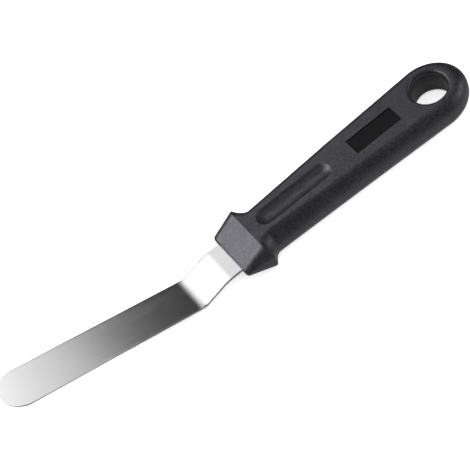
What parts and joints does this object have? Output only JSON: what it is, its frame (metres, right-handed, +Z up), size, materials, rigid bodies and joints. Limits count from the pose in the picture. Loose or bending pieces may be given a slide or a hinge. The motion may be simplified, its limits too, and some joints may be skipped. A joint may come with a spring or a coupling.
{
  "type": "offset spatula",
  "caption": "Offset icing spatula: a round-tipped stainless blade on a cranked neck, in a moulded black handle with a wedge bolster, thumb groove and hang hole.",
  "frame": {"origin": "middle of the whole length and width, on the surface that the handle's flat underside rests on", "axes": "+X from the blade's tip to the handle's butt, +Z up out of the handle's top, where the thumb groove is, +Y across the handle"},
  "size_m": [0.2332, 0.0316, 0.0297],
  "materials": {
    "stainless_steel": "bright polished stainless sheet",
    "black_plastic": "fine-grained matt moulding, smooth in the sunk panel"
  },
  "bodies": {
    "root": {"blade": "stainless_steel", "handle": "black_plastic"}
  },
  "joints": []
}
